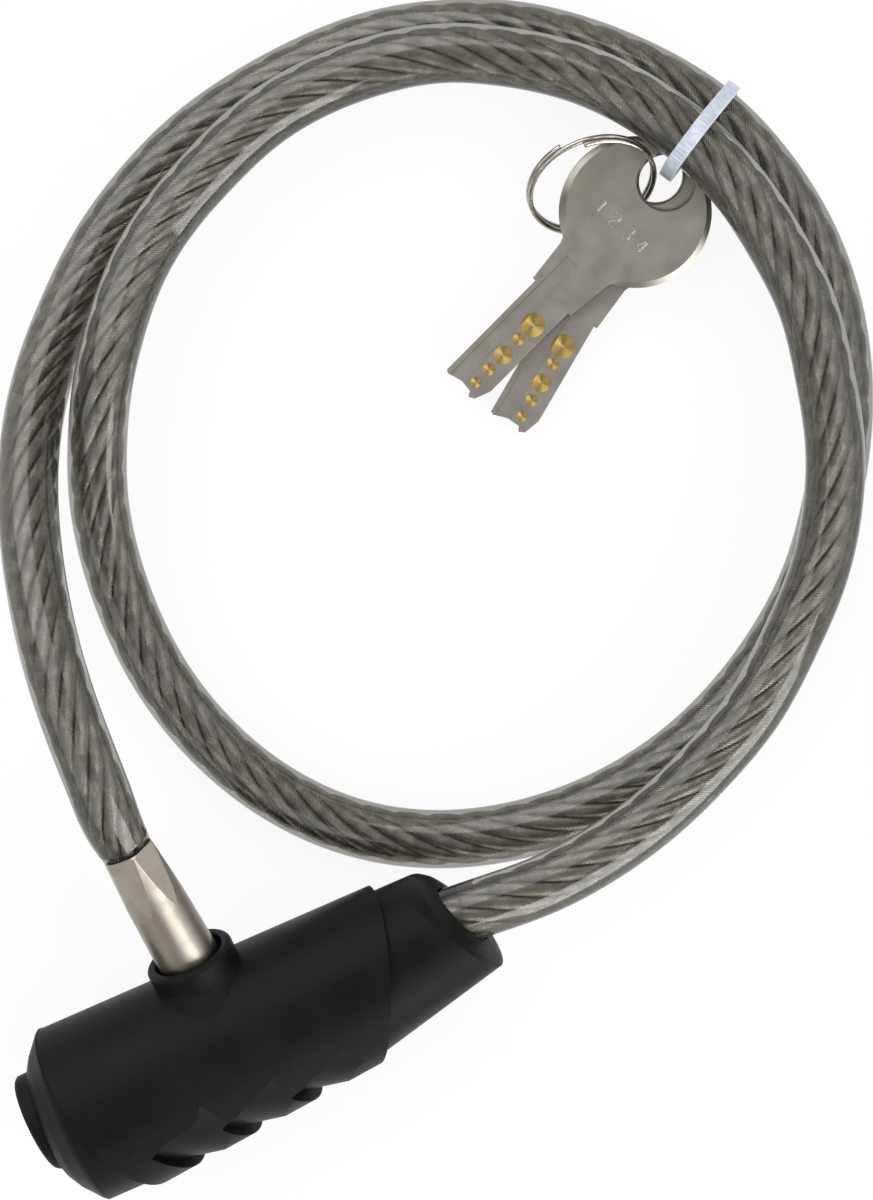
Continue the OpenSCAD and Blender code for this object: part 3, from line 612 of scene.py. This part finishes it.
# Strokes of the digits 1 to 4, across and up in a unit square.
STROKES = [
    [[[0.2, 0.72], [0.52, 1]], [[0.52, 1], [0.52, 0]]],
    [[[0.12, 0.72], [0.22, 0.93], [0.5, 1], [0.8, 0.88], [0.84, 0.65], [0.58, 0.38], [0.15, 0]],
     [[0.15, 0], [0.9, 0]]],
    [[[0.12, 0.88], [0.45, 1], [0.8, 0.88], [0.78, 0.62], [0.42, 0.53]],
     [[0.42, 0.53], [0.82, 0.42], [0.86, 0.15], [0.5, 0], [0.1, 0.12]]],
    [[[0.66, 0], [0.66, 1]], [[0.66, 1], [0.1, 0.32]], [[0.1, 0.32], [0.94, 0.32]]]]
DIGIT_H, DIGIT_W, DIGIT_PITCH = 2.5 * MM, 1.75 * MM, 3.2 * MM
DIGITS_AT = np.array([10.6, 0, 1.04]) * MM
STROKE_W, STROKE_HIGH = 0.38 * MM, 0.1 * MM
STROKE_RINGS, STROKE_SIDES = 12, 10


def digits(name):
    """Counting digits in low relief across a key's bow: each stroke is a spline swept with
    an ellipse of stroke width and twice the relief's height."""
    parts = []
    b = np.linspace(0, 2 * np.pi, STROKE_SIDES, endpoint=False)[None, :, None]
    for place, strokes in enumerate(STROKES):
        for stroke in strokes:
            t, at = spline([[x, y, 0] for x, y in stroke])
            unit_line = at(np.linspace(0, t[-1], STROKE_RINGS))
            up = DIGIT_H * (0.5 - unit_line[:, 1])
            across = DIGIT_W * (unit_line[:, 0] - 0.5) + DIGIT_PITCH * (place - (len(STROKES) - 1) / 2)
            line = np.stack([up, across, 0 * up], -1) + DIGITS_AT
            _, side, rise = frames(line)
            rings = line[:, None] + (STROKE_W / 2 * np.cos(b) * side[:, None]
                                     + STROKE_HIGH * np.sin(b) * rise[:, None])
            parts.append(swept(on_key(name, rings)))
    return mesh(name + "_digits", *joined(parts))


key_digits = digits("key_a")
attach(key_digits, "key_a")


# ---- finishes put on -----------------------------------------------------

HEAD_AXIS = (1, 0, 0)
PIN_AXIS = (-0.052336, 0.925913, 0.374093)


def put_on(material, *pieces):
    """Makes material the only one of those pieces, given as objects or by the part's names."""
    for piece in pieces:
        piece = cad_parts[piece] if isinstance(piece, str) else piece
        piece.data.materials.clear()
        piece.data.materials.append(material)


black = moulded("moulded_black", rgb(12, 12, 13), rgb(18, 18, 19), 0.45)
dull_black = moulded("moulded_black_dull", rgb(14, 14, 14), rgb(20, 20, 21), 0.5)
brass = turned("turned_brass", rgb(205, 168, 92), rgb(184, 146, 76), HEAD_AXIS, 0.28)
steel = turned("turned_steel", rgb(150, 150, 152), rgb(128, 128, 130), HEAD_AXIS, 0.3)
zinc = cast("cast_zinc", rgb(140, 142, 146), rgb(120, 122, 126), 0.42)
nickel = turned("satin_nickel", rgb(160, 152, 141), rgb(148, 140, 129), PIN_AXIS, 0.36)
ring_nickel = cast("bright_nickel", rgb(176, 172, 162), rgb(156, 151, 141), 0.2)
vinyl, wire, strap_nylon = clear_jacket(), galvanised(), nylon()

put_on(black, "outer_sleeve", "nose_cap", "rear_collar")
put_on(dull_black, "key_bezel")
put_on(brass, "cylinder_shell", "cylinder_plug", "key_pins")
put_on(steel, "plug_clip", "driver_pins", "driver_springs", "cam_cross_pin",
       "cylinder_retaining_pin", "anchor_pins", "latch_plate")
put_on(zinc, "lock_housing", "cam_disc", "cable_anchor")
put_on(nickel, "locking_pin")
put_on(ring_nickel, ring)
put_on(vinyl, free_jacket, main_jacket)
put_on(wire, *free_rope, *main_rope)
put_on(strap_nylon, tie)
upper_key, lower_key = [key_metal(key + "_metal", dimple_spots(key)) for key in KEYS]
put_on(upper_key, "key_a", key_digits)
put_on(lower_key, "key_b")


# ---- floor, lamps and surroundings ---------------------------------------

SEEN_BY = ("Is Camera Ray", "Is Glossy Ray", "Is Transmission Ray")
FLOOR_WHITE = 0.9
FLOOR_R, FLOOR_RISE, FLOOR_Z = 12.0, 4.0, -0.0001
FLOOR_SIDES, BEND_RINGS = 64, 13
HORIZON_LIGHT, OVERHEAD_LIGHT = 0.1, 0.5


def floor():
    """Pale round floor, turned up at its rim by a quarter circle as a backdrop. It shows
    white to the camera, also in metal and glass, and keeps the object's soft shadow."""
    bend = np.linspace(0, np.pi / 2, BEND_RINGS)[:, None]
    a = np.linspace(0, -2 * np.pi, FLOOR_SIDES, endpoint=False)[None, :]
    r = FLOOR_R + FLOOR_RISE * np.sin(bend)
    rise = FLOOR_Z + FLOOR_RISE * (1 - np.cos(bend))
    rings = np.stack([r * np.cos(a), r * np.sin(a), rise + 0 * a], -1)
    middle = list(range(FLOOR_SIDES))[::-1]
    plane = mesh("floor", rings.reshape(-1, 3), [middle] + grid_faces(BEND_RINGS, FLOOR_SIDES))
    f = Finish("pale_floor", {"Base Color": rgb(236, 236, 236), "Roughness": 0.9})
    rays = [f.node("ShaderNodeLightPath", output=kind) for kind in SEEN_BY]
    light = f.node("ShaderNodeEmission", None, {"Color": (1, 1, 1, 1), "Strength": 1.0})
    f.show(f.node("ShaderNodeMixShader", None, {
        0: f.between(rays[0] + rays[1] + rays[2], 0, 1) * FLOOR_WHITE, 1: f.surface, 2: light}))
    put_on(f.material, plane)


def lamp(name, x, y, z, size, power, colour=(1, 1, 1)):
    """Square soft lamp that looks at the middle of the part."""
    data = bpy.data.lights.new(name, "AREA")
    data.shape, data.size, data.energy, data.color = "SQUARE", size, power, colour
    made = bpy.data.objects.new(name, data)
    made.location = (x, y, z)
    middle = (cad_low + cad_high) / 2
    made.rotation_euler = (middle - made.location).to_track_quat("-Z", "Y").to_euler()
    bpy.context.scene.collection.objects.link(made)


def surroundings():
    """Plain grey light all round, brighter overhead than at the level of the floor."""
    world = bpy.data.worlds.new("studio")
    bpy.context.scene.world = world
    world.use_nodes = True
    sky = Nodes(world.node_tree, "ShaderNodeOutputWorld")
    place = sky.node("ShaderNodeTexCoord", output="Generated")
    height = sky.node("ShaderNodeSeparateXYZ", None, {0: place}, output="Z")
    level = sky.node("ShaderNodeMapRange", None, {
        "Value": height, "To Min": HORIZON_LIGHT, "To Max": OVERHEAD_LIGHT})
    sky.show(sky.node("ShaderNodeBackground", None, {"Color": (1, 1, 1, 1), "Strength": level}))


floor()
surroundings()
lamp("lamp_low", 0.38, -0.75, 0.38, 0.7, 8)
lamp("lamp_right", 0.8, -0.1, 0.7, 1.0, 4)
lamp("lamp_top", -0.05, 0.8, 0.7, 1.0, 8)
lamp("lamp_left", -0.7, -0.1, 0.8, 1.0, 4)
